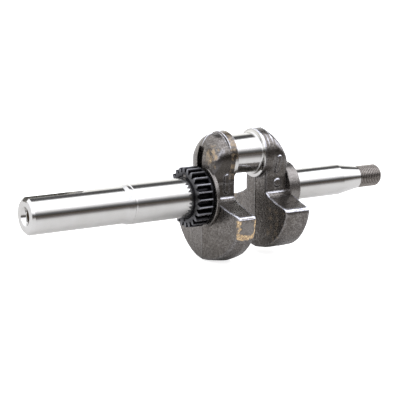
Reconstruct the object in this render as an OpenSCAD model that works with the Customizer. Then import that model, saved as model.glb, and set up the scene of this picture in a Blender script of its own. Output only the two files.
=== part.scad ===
// Crankshaft of a small single-cylinder engine: one forging, machined all over its shafts,
// with a timing gear pressed and keyed on beside the web. +X runs along the main axis from the
// output end to the flywheel end, +Z points at the crankpin, and the origin is the centre of
// the output-side main journal. Sizes are in millimetres.

/* [Output shaft] */
// Diameter of the output shaft
output_d = 25.4; // [24:0.1:27]
// Length of the output shaft up to the seal lead-in
output_len = 70.4; // [66:0.1:76]
// Chamfer on the free end
output_chamfer = 1.6; // [0.5:0.1:2.5]
// Width of the keyway
keyway_w = 6.35; // [5:0.05:7]
// Depth of the keyway below the top of the shaft
keyway_depth = 3.2; // [2:0.1:4]
// Length of the keyway at full depth
keyway_len = 27.7; // [20:0.1:36]
// Radius of the cutter that leaves the keyway's sloping run-out
keyway_cutter_r = 57; // [40:1:70]
// Diameter of the tapped hole in the end, at the thread's crests
end_hole_d = 8.6; // [7:0.1:9.6]
// Depth of the tapped hole
end_hole_len = 30; // [20:1:40]
// Diameter of the countersink at the tapped hole's mouth
countersink_d = 12.6; // [10.5:0.1:14]

/* [Output-side main journal and timing gear] */
// Length of the step from the output shaft up to the journal
lead_in_len = 6; // [4:0.1:8]
// Depth of the groove between the lead-in's land and the journal
lead_in_groove = 0.5; // [0.2:0.1:0.8]
// Diameter of the main journal on the output side
pto_journal_d = 27.5; // [26.5:0.1:28.2]
// Length of the main journal on the output side
pto_journal_len = 43.4; // [38:0.1:48]
// Diameter of the seat that the timing gear is pressed on
gear_seat_d = 28.6; // [28.4:0.1:30]
// Length of the gear seat
gear_seat_len = 13.6; // [13:0.1:15]
// Number of teeth on the timing gear
gear_teeth = 24; // [20:2:28]
// Module of the timing gear's teeth
gear_module = 1.6; // [1.5:0.05:1.7]
// Face width of the teeth
gear_face_w = 10.8; // [9:0.1:11.5]
// Width of the plain rim behind the teeth
gear_rim_w = 1.3; // [0.5:0.1:1.5]
// Width and height of the square gear key
gear_key_w = 4; // [3:0.1:4.5]

/* [Webs] */
// Distance from the main axis to the crankpin's axis
throw_r = 26.7; // [24:0.1:29]
// Thickness of the gear-side web at its middle
gear_web_t = 19.3; // [17:0.1:21]
// Thickness of the flywheel-side web at its middle
flywheel_web_t = 20.5; // [18:0.1:22]
// Thickness of the flywheel-side counterweight at its middle
flywheel_weight_t = 22.6; // [20.6:0.1:24]
// Forging draft: how far a web's outer face falls back per millimetre from its middle
draft = 0.09; // [0.05:0.01:0.12]
// The smaller draft on the webs' inner faces, beside the connecting rod
inner_draft = 0.045; // [0:0.005:0.06]
// Width of the neck between the knob and the counterweight
neck_w = 25; // [22:0.5:28]
// Radius of the knob round the crankpin's axis
knob_r = 17.2; // [16:0.1:18]
// Radius of the gear-side boss
gear_boss_r = 22; // [21.5:0.1:23]
// How far the gear-side boss stands out from the web
gear_boss_h = 1.2; // [0.5:0.1:2]
// Radius of the flywheel-side boss
flywheel_boss_r = 17.7; // [16:0.1:18.5]
// Length of the flywheel-side boss
flywheel_boss_h = 6.9; // [5:0.1:8]
// Width of the slot milled up the gear-side web
web_slot_w = 6.5; // [5:0.1:7]

/* [Crankpin] */
// Diameter of the crankpin
crankpin_d = 27.4; // [26:0.1:28.5]
// Length of the crankpin between its collars
crankpin_len = 21.7; // [20:0.1:24]
// Radius of the fillet at each end of the crankpin
crankpin_fillet = 1.6; // [1:0.1:2]
// Radius of the machined collars beside the crankpin
collar_r = 17.4; // [17.3:0.1:17.9]
// Thickness of the collars
collar_t = 2.9; // [2:0.1:3.5]

/* [Flywheel end] */
// Diameter of the main journal on the flywheel side
flywheel_journal_d = 22.26; // [21:0.01:23]
// Length of the main journal on the flywheel side
flywheel_journal_len = 43.1; // [38:0.1:48]
// Diameter at the small end of the flywheel taper
taper_small_d = 16.5; // [16.2:0.1:18]
// Length of the flywheel taper
taper_len = 17.3; // [15:0.1:20]
// Outside diameter of the flywheel nut's thread
thread_d = 16; // [14.6:0.1:16]
// Pitch of the flywheel nut's thread
thread_pitch = 1.5; // [1:0.25:1.5]
// Length of the threaded end
thread_len = 20; // [16:0.1:24]

/* [Hidden] */

$fn = 96;
eps = 0.01;
seam_angle = 37.5;

output_r = output_d / 2;
pto_journal_r = pto_journal_d / 2;
gear_seat_r = gear_seat_d / 2;
crankpin_r = crankpin_d / 2;
flywheel_journal_r = flywheel_journal_d / 2;

// Stations along the main axis, each one where the named section starts
x_output = -(output_len + lead_in_len + pto_journal_len / 2);
x_lead_in = x_output + output_len;
x_journal = x_lead_in + lead_in_len;
x_gear_seat = x_journal + pto_journal_len;
x_gear_boss = x_gear_seat + gear_seat_len;
x_gear_web = x_gear_boss + gear_boss_h;
x_pin = x_gear_web + gear_web_t;
x_far_collar = x_pin + crankpin_len;
x_flywheel_web = x_far_collar + collar_t;
x_flywheel_boss = x_flywheel_web + flywheel_web_t;
x_flywheel_journal = x_flywheel_boss + flywheel_boss_h;
x_taper = x_flywheel_journal + flywheel_journal_len;
x_thread = x_taper + taper_len;

// Timing gear
gear_x = x_gear_seat + 0.4;
gear_len = gear_face_w + gear_rim_w;
pressure_angle = 20;
pitch_r = gear_module * gear_teeth / 2;
base_r = pitch_r * cos(pressure_angle);
tip_r = pitch_r + 1.1 * gear_module;
root_r = pitch_r - 1.12 * gear_module;
rim_r = pitch_r + 0.75 * gear_module;
bore_chamfer = 0.7;
key_top_r = gear_seat_r + gear_key_w * 0.45;
timing_dot_d = 1.7;
gear_phase = -3;

// Webs
boss_pocket = 2.4;
neck_foot_z = -2;
gear_shoulder = [17, 20];
flywheel_shoulder = [13, 17];
flash_w = 6.3;
gear_dome_r = 16.6;
gear_dome_h = 15.2;
gear_dome_power = 2.5;
slot_cutter_r = 30;
slot_floor = 16.4;
slot_z = 22;
gear_weight_r = 46.7;
gear_weight_outer_r = 45;
flywheel_weight_r = 37.5;
flywheel_weight_z = -4.3;
flywheel_weight_edge = 1.2;
weight_outer_draft = 0.03;

steel = "gainsboro";
forging = "dimgray";
black_oxide = [0.16, 0.16, 0.17];

// A turned solid about the main axis, from an outline of [radius, station] points. Its seam
// is turned away from the crankpin's side, where the keyway is.
module turned(outline) {
    rotate([0, 90, 0]) rotate([0, 0, seam_angle]) rotate_extrude() polygon(outline);
}

// A disc or a straight length of shaft about the main axis
module disc(r, x, len) {
    translate([x, 0, 0]) rotate([0, 90, 0]) cylinder(r = r, h = len);
}

// A shape drawn in the YZ plane and carried along X
module along_x(x, len) {
    translate([x, 0, 0]) rotate([90, 0, 90]) linear_extrude(len) children();
}

// A shape drawn in the XZ plane and carried along Y, centred
module along_y(w) {
    rotate([90, 0, 0]) linear_extrude(w, center = true) children();
}

// The webs are drawn with their inner face at x = 0 and their outer face towards +X
module place_gear_web() {
    translate([x_pin, 0, 0]) mirror([1, 0, 0]) children();
}

module place_flywheel_web() {
    translate([x_flywheel_web, 0, 0]) children();
}

function rounded(t, power) = pow(1 - pow(t, power), 1 / power);
function dome(r, start, h, power, steps) =
    [for (i = [0:steps]) let (t = sin(90 * i / steps)) [r * rounded(t, power), start + h * t]];
function involute(r) = let (a = acos(min(1, base_r / r))) tan(a) * 180 / PI - a;
function half_tooth(r) = 90 / gear_teeth + involute(pitch_r) - involute(max(r, base_r));
function polar(r, a) = [r * cos(a), r * sin(a)];

module output_shaft() {
    x_free = x_output;
    color(steel) difference() {
        turned([[0, x_free], [output_r - output_chamfer, x_free],
                [output_r, x_free + output_chamfer], [output_r, x_lead_in], [0, x_lead_in]]);
        translate([x_free - 1, -keyway_w / 2, output_r - keyway_depth])
            cube([keyway_len + 1, keyway_w, 2 * keyway_depth]);
        translate([x_free + keyway_len, 0, output_r - keyway_depth + keyway_cutter_r])
            rotate([90, 0, 0])
                cylinder(r = keyway_cutter_r, h = keyway_w, center = true, $fn = 240);
        disc(end_hole_d / 2, x_free - 1, end_hole_len + 1);
        turned([[0, x_free - 1], [countersink_d / 2 + 1, x_free - 1],
                [countersink_d / 2, x_free], [end_hole_d / 2 - eps, x_free + 3.4],
                [0, x_free + 3.4]]);
    }
}

module seal_lead_in() {
    x_land = x_lead_in + 0.5 * lead_in_len;
    x_groove = x_lead_in + 0.75 * lead_in_len;
    land_r = pto_journal_r - 0.05;
    groove_r = pto_journal_r - lead_in_groove;
    color(steel) turned([[0, x_lead_in], [output_r, x_lead_in], [land_r, x_land],
                         [land_r, x_groove], [groove_r, x_groove + lead_in_groove],
                         [groove_r, x_journal - lead_in_groove], [pto_journal_r, x_journal],
                         [0, x_journal]]);
}

module pto_journal() {
    color(steel) disc(pto_journal_r, x_journal, pto_journal_len);
}

module key_block(clearance) {
    translate([gear_x, -gear_key_w / 2 - clearance, key_top_r - gear_key_w])
        cube([gear_len, gear_key_w + 2 * clearance, gear_key_w + clearance]);
}

module gear_seat() {
    color(steel) difference() {
        disc(gear_seat_r, x_gear_seat, gear_seat_len);
        key_block(0);
    }
}

module gear_key() {
    color(steel) key_block(0);
}

module tooth_outline() {
    heights = [root_r, base_r, (base_r + pitch_r) / 2, pitch_r, (pitch_r + tip_r) / 2, tip_r];
    last = len(heights) - 1;
    polygon([for (tooth = [0:gear_teeth - 1])
        let (middle = 90 + gear_phase + 360 * tooth / gear_teeth)
        each concat(
            [for (i = [0:last]) polar(heights[i], middle - half_tooth(heights[i]))],
            [for (i = [0:last]) polar(heights[last - i], middle + half_tooth(heights[last - i]))]
        )]);
}

module timing_gear() {
    x_end = gear_x + gear_len;
    color(black_oxide) difference() {
        union() {
            intersection() {
                along_x(gear_x, gear_face_w) tooth_outline();
                turned([[0, gear_x], [tip_r - 0.5, gear_x], [tip_r, gear_x + 0.5],
                        [tip_r, x_end], [0, x_end]]);
            }
            disc(rim_r, gear_x + gear_face_w, gear_rim_w);
        }
        disc(gear_seat_r, gear_x - 1, gear_len + 2);
        turned([[0, gear_x - 1], [gear_seat_r + bore_chamfer + 1, gear_x - 1],
                [gear_seat_r - eps, gear_x + bore_chamfer], [0, gear_x + bore_chamfer]]);
        key_block(0);
        translate([gear_x - 1, 0, -(gear_seat_r + 1.7)]) rotate([0, 90, 0])
            cylinder(d = timing_dot_d, h = 2);
    }
}

// The round cutter's track up the middle of the gear-side web
module web_slot() {
    translate([slot_floor + slot_cutter_r, 0, slot_z]) rotate([90, 0, 0])
        cylinder(r = slot_cutter_r, h = web_slot_w, center = true, $fn = 180);
}

module gear_side_boss() {
    color(forging) difference() {
        turned([[0, x_gear_boss], [gear_boss_r - 0.4, x_gear_boss],
                [gear_boss_r, x_gear_boss + 0.4], [gear_boss_r, x_gear_boss + boss_pocket],
                [0, x_gear_boss + boss_pocket]]);
        place_gear_web() web_slot();
    }
}

// Plan of a web seen along Z: both faces fall back from the middle by the forging draft
module drafted_plan(t, half_w) {
    inner = inner_draft * half_w;
    outer = t - draft * half_w;
    polygon([[0, 0], [inner, half_w], [outer, half_w], [t, 0],
             [outer, -half_w], [inner, -half_w]]);
}

// The neck's outer face runs straight up to the shoulder's height and then slopes in to the
// shoulder's distance from the inner face, where it meets the knob
module neck(t, shoulder) {
    intersection() {
        translate([0, 0, neck_foot_z]) linear_extrude(throw_r - neck_foot_z)
            drafted_plan(t, neck_w / 2);
        along_y(neck_w) polygon([[-1, neck_foot_z], [t + 1, neck_foot_z], [t + 1, shoulder[1]],
                                 [t, shoulder[1]], [shoulder[0], throw_r], [-1, throw_r]]);
    }
}

module knob(outline) {
    translate([0, 0, throw_r]) turned(outline);
}

// Side view of the flywheel-side knob's sloping outer side, as [distance from the inner face, z]
flywheel_slope = [[3.8, 46], [5.6, 42.6], [14, 26.7], [18.6, 18], [19.4, 0]];

module sloping_knob() {
    intersection() {
        translate([0, 0, throw_r]) disc(knob_r, 0, flywheel_web_t);
        along_y(2 * knob_r + 2) polygon(concat([[-1, 0], [-1, 46]], flywheel_slope));
    }
}

module gear_side_web() {
    color(forging) place_gear_web() difference() {
        union() {
            neck(gear_web_t, gear_shoulder);
            knob(concat([[0, 0], [knob_r, 0], [knob_r, flash_w]],
                        dome(gear_dome_r, flash_w, gear_dome_h, gear_dome_power, 12)));
        }
        disc(gear_boss_r, gear_web_t + gear_boss_h - boss_pocket, boss_pocket + 5);
        translate([0, 0, throw_r]) disc(collar_r, -1, collar_t + 1);
        web_slot();
    }
}

// Half outline of the gear-side counterweight as [y, z] points, above its round rim
gear_weight_outline = [[0, neck_foot_z], [14, neck_foot_z], [18, -3.8], [29.2, -6.8],
                       [37.9, -8.5], [40.6, -9.4], [41.8, -11.3], [39.9, -23.5]];
flywheel_weight_outline = [[0, neck_foot_z], [14, neck_foot_z], [17, -3.8], [25.5, -6.8],
                           [34, -8.8], [35.4, -9.6], [36.5, -10.9], [37, -13]];

// The half outline mirrored to a whole one and closed far below the rim
module weight_outline(half) {
    last = len(half) - 1;
    polygon(concat([for (p = half) p], [[60, -60], [-60, -60]],
                   [for (i = [0:last - 1]) [-half[last - i][0], half[last - i][1]]]));
}

module gear_side_counterweight() {
    color(forging) place_gear_web() difference() {
        intersection() {
            along_x(-1, gear_web_t + 2) weight_outline(gear_weight_outline);
            translate([0, 0, -60]) linear_extrude(60) drafted_plan(gear_web_t, 50);
            turned([[0, -1], [gear_weight_r - 1.5, -1], [gear_weight_r - 1.5, 0],
                    [gear_weight_r, gear_web_t * 0.4],
                    [gear_weight_outer_r, gear_web_t], [0, gear_web_t + 1]]);
        }
        disc(gear_boss_r, gear_web_t + gear_boss_h - boss_pocket, boss_pocket + 5);
    }
}

module gear_side_pin_collar() {
    color(steel) place_gear_web() knob([[0, 0], [collar_r, 0], [collar_r, collar_t],
                                        [0, collar_t]]);
}

module crankpin() {
    f = crankpin_fillet;
    steps = 6;
    near = [for (i = [0:steps]) let (a = 90 * i / steps)
            [crankpin_r + f * (1 - sin(a)), f * (1 - cos(a))]];
    far = [for (i = [0:steps]) let (a = 90 * i / steps)
           [crankpin_r + f * (1 - cos(a)), crankpin_len - f * (1 - sin(a))]];
    color(steel) translate([x_pin, 0, throw_r])
        turned(concat([[0, 0]], near, far, [[0, crankpin_len]]));
}

module flywheel_side_pin_collar() {
    root = inner_draft * knob_r + 0.1;
    color(steel) translate([x_far_collar, 0, throw_r])
        turned([[0, 0], [collar_r, 0], [collar_r, collar_t], [collar_r - 1, collar_t],
                [collar_r - 1, collar_t + root], [0, collar_t + root]]);
}

module flywheel_side_web() {
    root = inner_draft * knob_r + 0.1;
    color(forging) place_flywheel_web() difference() {
        intersection() {
            union() {
                neck(flywheel_web_t, flywheel_shoulder);
                sloping_knob();
            }
            translate([0, 0, neck_foot_z]) linear_extrude(60)
                drafted_plan(flywheel_web_t + 3, 25);
        }
        translate([0, 0, throw_r]) disc(collar_r - 1, -1, root + 1);
        disc(flywheel_boss_r, flywheel_web_t - 2, 10);
    }
}

module flywheel_side_counterweight() {
    t = flywheel_weight_t;
    r = flywheel_weight_r;
    half_w = 50;
    inner = inner_draft * half_w;
    outer = t - weight_outer_draft * half_w;
    color(forging) place_flywheel_web() difference() {
        intersection() {
            along_x(-1, t + 2) weight_outline(flywheel_weight_outline);
            translate([0, 0, -60]) linear_extrude(60)
                polygon([[0, 0], [inner, half_w], [outer, half_w], [t, 0],
                         [outer, -half_w], [inner, -half_w]]);
            translate([0, 0, flywheel_weight_z])
                turned([[0, -1], [r - flywheel_weight_edge, -1], [r - flywheel_weight_edge, 0.5],
                        [r, 5], [r, t + 1], [0, t + 1]]);
        }
        disc(flywheel_boss_r, flywheel_web_t - 2, 10);
    }
}

module flywheel_side_boss() {
    color(forging) turned([[0, x_flywheel_boss - 2], [flywheel_boss_r, x_flywheel_boss - 2],
                           [flywheel_boss_r, x_flywheel_journal - 0.4],
                           [flywheel_boss_r - 0.4, x_flywheel_journal],
                           [0, x_flywheel_journal]]);
}

module flywheel_journal() {
    color(steel) disc(flywheel_journal_r, x_flywheel_journal, flywheel_journal_len);
}

module flywheel_taper() {
    color(steel) turned([[0, x_taper], [flywheel_journal_r, x_taper],
                         [taper_small_d / 2, x_thread], [0, x_thread]]);
}

module threaded_end() {
    x_end = x_thread + thread_len;
    thread_r = thread_d / 2;
    groove_depth = 0.6 * thread_pitch;
    start = 0.9;
    chamfer = 2.4;
    turns = floor((thread_len - start) / thread_pitch);
    color([0.36, 0.33, 0.31]) intersection() {
        turned(concat(
            [[0, x_thread], [thread_r, x_thread]],
            [for (turn = [0:turns - 1]) let (x = x_thread + start + turn * thread_pitch)
                each [[thread_r, x + 0.15 * thread_pitch],
                      [thread_r - groove_depth, x + 0.5 * thread_pitch],
                      [thread_r, x + 0.85 * thread_pitch]]],
            [[thread_r, x_end], [0, x_end]]));
        turned([[0, x_thread], [thread_r, x_thread], [thread_r, x_end - chamfer],
                [thread_r - 0.7 * chamfer, x_end], [0, x_end]]);
    }
}

output_shaft();
seal_lead_in();
pto_journal();
gear_seat();
gear_key();
timing_gear();
gear_side_boss();
gear_side_web();
gear_side_counterweight();
gear_side_pin_collar();
crankpin();
flywheel_side_pin_collar();
flywheel_side_web();
flywheel_side_counterweight();
flywheel_side_boss();
flywheel_journal();
flywheel_taper();
threaded_end();
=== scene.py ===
"""Looks of a small-engine crankshaft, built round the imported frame.

Lengths in this file are millimetres unless a name ends in _m, and the meshes are scaled to
metres as they are made. Turned sections are lathed outlines, the two webs are blended distance
fields turned into meshes, and the pieces are placed by the boxes of the frame's nodes.
"""
import math

import bmesh
import bpy
import numpy as np
from mathutils import Matrix, Vector, noise


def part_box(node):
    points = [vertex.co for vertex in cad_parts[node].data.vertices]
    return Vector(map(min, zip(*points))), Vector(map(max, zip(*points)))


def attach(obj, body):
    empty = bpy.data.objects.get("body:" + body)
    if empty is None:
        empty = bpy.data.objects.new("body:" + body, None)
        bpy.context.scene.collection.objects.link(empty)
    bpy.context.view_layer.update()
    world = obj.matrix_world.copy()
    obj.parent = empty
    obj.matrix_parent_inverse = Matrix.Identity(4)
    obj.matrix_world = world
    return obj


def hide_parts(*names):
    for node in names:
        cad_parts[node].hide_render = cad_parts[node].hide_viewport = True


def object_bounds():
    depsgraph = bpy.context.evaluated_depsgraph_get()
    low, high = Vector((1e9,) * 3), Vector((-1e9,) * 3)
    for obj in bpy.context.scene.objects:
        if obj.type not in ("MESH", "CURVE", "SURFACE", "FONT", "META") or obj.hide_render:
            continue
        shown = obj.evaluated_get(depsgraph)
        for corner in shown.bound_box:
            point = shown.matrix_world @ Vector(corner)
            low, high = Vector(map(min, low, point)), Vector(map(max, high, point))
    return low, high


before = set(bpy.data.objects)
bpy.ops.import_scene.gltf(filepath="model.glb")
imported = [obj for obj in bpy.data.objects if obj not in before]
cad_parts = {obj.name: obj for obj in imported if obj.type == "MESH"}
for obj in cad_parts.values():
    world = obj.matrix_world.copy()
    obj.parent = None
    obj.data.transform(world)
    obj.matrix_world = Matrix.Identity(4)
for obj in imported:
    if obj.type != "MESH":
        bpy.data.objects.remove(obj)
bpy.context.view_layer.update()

MM = 0.001
ROUND_STEPS = 256
AROUND = 2 * math.pi


# ---------------------------------------------------------------- camera

CAMERA_LENS = 138.74
CAMERA_SENSOR = 36
CAMERA_REACH_M = 20
CAMERA_PLACE_M = (-0.5132, -0.88905, 0.20785)
# From the object back towards the camera
CAMERA_BACK = (-0.51436, -0.83441, 0.19800)


def add_camera():
    camera_data = bpy.data.cameras.new("camera")
    camera_data.lens = CAMERA_LENS
    camera_data.sensor_width = CAMERA_SENSOR
    camera_data.clip_end = CAMERA_REACH_M
    camera = bpy.data.objects.new("camera", camera_data)
    bpy.context.collection.objects.link(camera)
    back = Vector(CAMERA_BACK).normalized()
    right = Vector((0, 0, 1)).cross(back).normalized()
    up = back.cross(right)
    turn = Matrix((right, up, back)).transposed().to_4x4()
    camera.matrix_world = Matrix.Translation(CAMERA_PLACE_M) @ turn
    bpy.context.scene.camera = camera


# ---------------------------------------------------------------- places, from the frame

def span(node):
    """Where a node starts and ends along X."""
    low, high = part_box(node)
    return low[0] / MM, high[0] / MM


def radius(node):
    low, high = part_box(node)
    return (high[1] - low[1]) / 2 / MM


def corners(node):
    """A node's low and high corner."""
    low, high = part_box(node)
    return np.array(low) / MM, np.array(high) / MM


PIN_Z = (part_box("crankpin")[0][2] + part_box("crankpin")[1][2]) / 2 / MM
PIN_X = span("crankpin")
# How far the collars' centre lies below the pin's
COLLAR_DROP = 0.4


# ---------------------------------------------------------------- mesh helpers

def make_object(name, points, faces, sharp_degrees=35):
    mesh = bpy.data.meshes.new(name)
    mesh.from_pydata((np.asarray(points) * MM).tolist(), [], faces)
    mesh.validate()
    piece = bpy.data.objects.new(name, mesh)
    bpy.context.collection.objects.link(piece)
    finish_shading(piece, sharp_degrees)
    return piece


def finish_shading(piece, sharp_degrees):
    work = bmesh.new()
    work.from_mesh(piece.data)
    bmesh.ops.recalc_face_normals(work, faces=work.faces)
    work.to_mesh(piece.data)
    work.free()
    smooth_between_edges(piece, sharp_degrees)


def smooth_between_edges(piece, sharp_degrees):
    piece.data.shade_smooth()
    piece.data.set_sharp_from_angle(angle=math.radians(sharp_degrees))


def ring_band(a, b, count):
    """Quads between two rings of points, whose first points have the numbers a and b."""
    return [(a + j, a + (j + 1) % count, b + (j + 1) % count, b + j) for j in range(count)]


def lathe(name, outline, centre_z=0.0, steps=ROUND_STEPS):
    """A closed turned mesh about a line along X, from (x, radius) points. The outline starts
    and ends on the axis."""
    turn = np.arange(steps) * AROUND / steps
    points = [(outline[0][0], 0, centre_z)]
    faces = []
    rings = outline[1:-1]
    for x, r in rings:
        points += [(x, r * math.cos(a), centre_z + r * math.sin(a)) for a in turn]
    points.append((outline[-1][0], 0, centre_z))
    last = len(points) - 1
    for j in range(steps):
        k = (j + 1) % steps
        faces.append((0, 1 + k, 1 + j))
        for i in range(len(rings) - 1):
            a, b = 1 + i * steps, 1 + (i + 1) * steps
            faces.append((a + j, a + k, b + k, b + j))
        end = 1 + (len(rings) - 1) * steps
        faces.append((end + j, end + k, last))
    return make_object(name, points, faces)


def bar_outline(x0, x1, r, chamfer0=0.2, chamfer1=0.2):
    """Outline of a plain length of shaft with a small chamfer at each end."""
    return [(x0, 0), (x0, r - chamfer0), (x0 + chamfer0, r), (x1 - chamfer1, r),
            (x1, r - chamfer1), (x1, 0)]


def box_cutter(name, low, high):
    (x0, y0, z0), (x1, y1, z1) = low, high
    points = [(x, y, z) for x in (x0, x1) for y in (y0, y1) for z in (z0, z1)]
    faces = [(0, 1, 3, 2), (4, 6, 7, 5), (0, 4, 5, 1), (2, 3, 7, 6), (0, 2, 6, 4), (1, 5, 7, 3)]
    return make_object(name, points, faces)


def disc_cutter(name, centre, r, width, steps=360):
    """A disc with its axis along Y, like a milling cutter."""
    x, y, z = centre
    turn = np.arange(steps) * AROUND / steps
    points = [(x + r * math.cos(a), y + side * width / 2, z + r * math.sin(a))
              for side in (-1, 1) for a in turn]
    faces = [tuple(range(steps)), tuple(range(2 * steps - 1, steps - 1, -1))]
    return make_object(name, points, faces + ring_band(0, steps, steps))


def combine(piece, tool, operation="DIFFERENCE", sharp_degrees=35):
    """Cuts a tool out of a piece, or joins it on, and removes the tool."""
    step = piece.modifiers.new("combine", "BOOLEAN")
    step.operation = operation
    step.solver = "EXACT"
    step.object = tool
    graph = bpy.context.evaluated_depsgraph_get()
    result = bpy.data.meshes.new_from_object(piece.evaluated_get(graph))
    piece.modifiers.clear()
    piece.data = result
    bpy.data.objects.remove(tool)
    smooth_between_edges(piece, sharp_degrees)


# ---------------------------------------------------------------- distance fields for the webs

# The webs' field grid: its spacing and its lowest corner as (u, y, z)
GRID = 0.36
GRID_LOW = np.array([-5.0, -45.0, -49.5])
# The forgings' height, half width of neck, and how far their faces fall back per millimetre
# from the middle
WEB_TOP_Z, WEB_FLOOR_Z = 43.95, -46.55
NECK_HALF = 12.5
NECK_TOP_Z, NECK_FLOOR_Z = 22, -20
DRAFT = 0.09
INNER_DRAFT = 0.045


def smooth_min(a, b, k):
    """The lower of two fields, blended over a width k where they are close."""
    h = np.maximum(k - np.abs(a - b), 0) / k
    return np.minimum(a, b) - h * h * k / 4


def smooth_max(a, b, k):
    """The higher of two fields, which cuts one shape by another with an edge rounded over k."""
    return -smooth_min(-a, -b, k)


def polygon_distance(p, q, outline):
    """Signed distance to a polygon, negative inside."""
    nearest = np.full(np.broadcast(p, q).shape, 1e9)
    sign = np.ones(nearest.shape)
    for i, (ax, ay) in enumerate(outline):
        bx, by = outline[i - 1]
        ex, ey = bx - ax, by - ay
        wx, wy = p - ax, q - ay
        t = np.clip((wx * ex + wy * ey) / (ex * ex + ey * ey), 0, 1)
        nearest = np.minimum(nearest, (wx - ex * t) ** 2 + (wy - ey * t) ** 2)
        above, below, left = q >= ay, q < by, ex * wy > ey * wx
        flip = (above & below & left) | ~(above | below | left)
        sign = np.where(flip, -sign, sign)
    return sign * np.sqrt(nearest)


def soften(field, passes):
    """Rounds every edge of the field a little, as a forging's are."""
    for _ in range(passes):
        for axis in range(3):
            before = np.roll(field, 1, axis)
            after = np.roll(field, -1, axis)
            field = 0.25 * before + 0.5 * field + 0.25 * after
    return field


def surface_net(field, low, step):
    """Mesh of the field's zero surface: one point per crossed cell, one quad per crossed edge."""
    inside = field < 0
    corners = [(i, j, k) for i in (0, 1) for j in (0, 1) for k in (0, 1)]
    nx, ny, nz = (n - 1 for n in field.shape)
    count = sum(inside[i:nx + i, j:ny + j, k:nz + k].astype(np.int8) for i, j, k in corners)
    active = np.argwhere((count > 0) & (count < 8))
    index = np.full(count.shape, -1, np.int64)
    index[tuple(active.T)] = np.arange(len(active))
    values = np.stack([field[tuple((active + c).T)] for c in corners], axis=1)
    total = np.zeros((len(active), 3))
    hits = np.zeros(len(active))
    for a in range(8):
        for b in range(a + 1, 8):
            way = np.subtract(corners[b], corners[a])
            if np.abs(way).sum() != 1:
                continue
            crossed = (values[:, a] < 0) != (values[:, b] < 0)
            gap = np.where(crossed, values[:, a] - values[:, b], 1)
            t = np.where(crossed, values[:, a] / gap, 0)
            total += crossed[:, None] * (np.array(corners[a]) + t[:, None] * way)
            hits += crossed
    points = (active + total / hits[:, None]) * step + low
    quads = []
    for axis in range(3):
        u, v = (axis + 1) % 3, (axis + 2) % 3
        ends = [slice(None)] * 3
        starts = [slice(None)] * 3
        ends[axis], starts[axis] = slice(1, None), slice(None, -1)
        edge = np.argwhere(inside[tuple(starts)] != inside[tuple(ends)])
        edge = edge[(edge[:, u] > 0) & (edge[:, v] > 0)]
        outward = inside[tuple(edge.T)]
        du, dv = np.eye(3, dtype=int)[u], np.eye(3, dtype=int)[v]
        ring = [index[tuple((edge - shift).T)] for shift in (du + dv, dv, 0 * du, du)]
        quad = np.stack(ring, axis=1)
        quads.append(np.where(outward[:, None], quad, quad[:, ::-1]))
    return points, np.concatenate(quads)


def relax(points, quads, passes, amount=0.5):
    """Moves each point towards the middle of its neighbours, a little at a time."""
    starts = quads.ravel()
    stops = np.roll(quads, -1, axis=1).ravel()
    ties = np.zeros(len(points))
    np.add.at(ties, starts, 1)
    np.add.at(ties, stops, 1)
    for _ in range(passes):
        total = np.zeros_like(points)
        np.add.at(total, starts, points[stops])
        np.add.at(total, stops, points[starts])
        points = points + amount * (total / ties[:, None] - points)
    return points


def web_grid(thickness):
    """Grid axes of a web, as u from its inner face outwards, distance from its middle plane,
    y and z."""
    highs = (thickness + 4, 45, 47)
    axes = [np.arange(low, high, GRID) for low, high in zip(GRID_LOW, highs)]
    u, y, z = np.meshgrid(*axes, indexing="ij", sparse=True)
    return u, np.abs(y), y, z


def slope(u, z, start, end):
    """Distance past a straight cut that runs from start to end, both (u, z)."""
    du, dz = end[0] - start[0], end[1] - start[1]
    length = math.hypot(du, dz)
    return (u - start[0]) * dz / length - (z - start[1]) * du / length


def neck_field(half, z):
    return np.maximum(np.maximum(half - NECK_HALF, z - NECK_TOP_Z), NECK_FLOOR_Z - z)


def gear_side_knob(u, half, z, outline):
    """The domed knob: a straight band round the pin's end, then a bulge towards the gear."""
    band_u, dome_start_z = 6.3, 25.7
    dome_half, dome_h, dome_u = 18.7, 16.9, 15.2
    rise = np.maximum(u - band_u, 0) / dome_u
    above = np.maximum(z - dome_start_z, 0) / dome_h
    form = (half / dome_half) ** 1.8 + above ** 1.33 + rise ** 3.7
    bulge = (form ** 0.4 - 1) * 14
    return smooth_max(outline, bulge, 1.0)


def raised_pads(field, u, y, z, pads, height=0.75, flank=0.4):
    """Plain solid pads with round ends on the neck's near side, each (u, z, half length,
    radius)."""
    near_side = y < -8
    for pad_u, pad_z, half_len, r in pads:
        painted_dark_reflection = np.hypot(u - pad_u, np.maximum(np.abs(z - pad_z) - half_len, 0)) - r
        lift = np.clip(0.5 - painted_dark_reflection / flank, 0, 1)
        field = field - height * lift * near_side
    return field


def parting_ridge(field, half, height=0.22, width=0.7):
    """The fin's trace along the middle plane, where the forging dies met."""
    return field - height * np.clip(1 - half / width, 0, 1)


def as_forged(field, u, half, y, z, pads):
    """Softens a web, adds its parting ridge and pads and trims it to its height."""
    field = parting_ridge(soften(field, 1), half)
    field = np.maximum(field, np.maximum(z - WEB_TOP_Z, WEB_FLOOR_Z - z))
    return raised_pads(field, u, y, z, pads)


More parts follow.
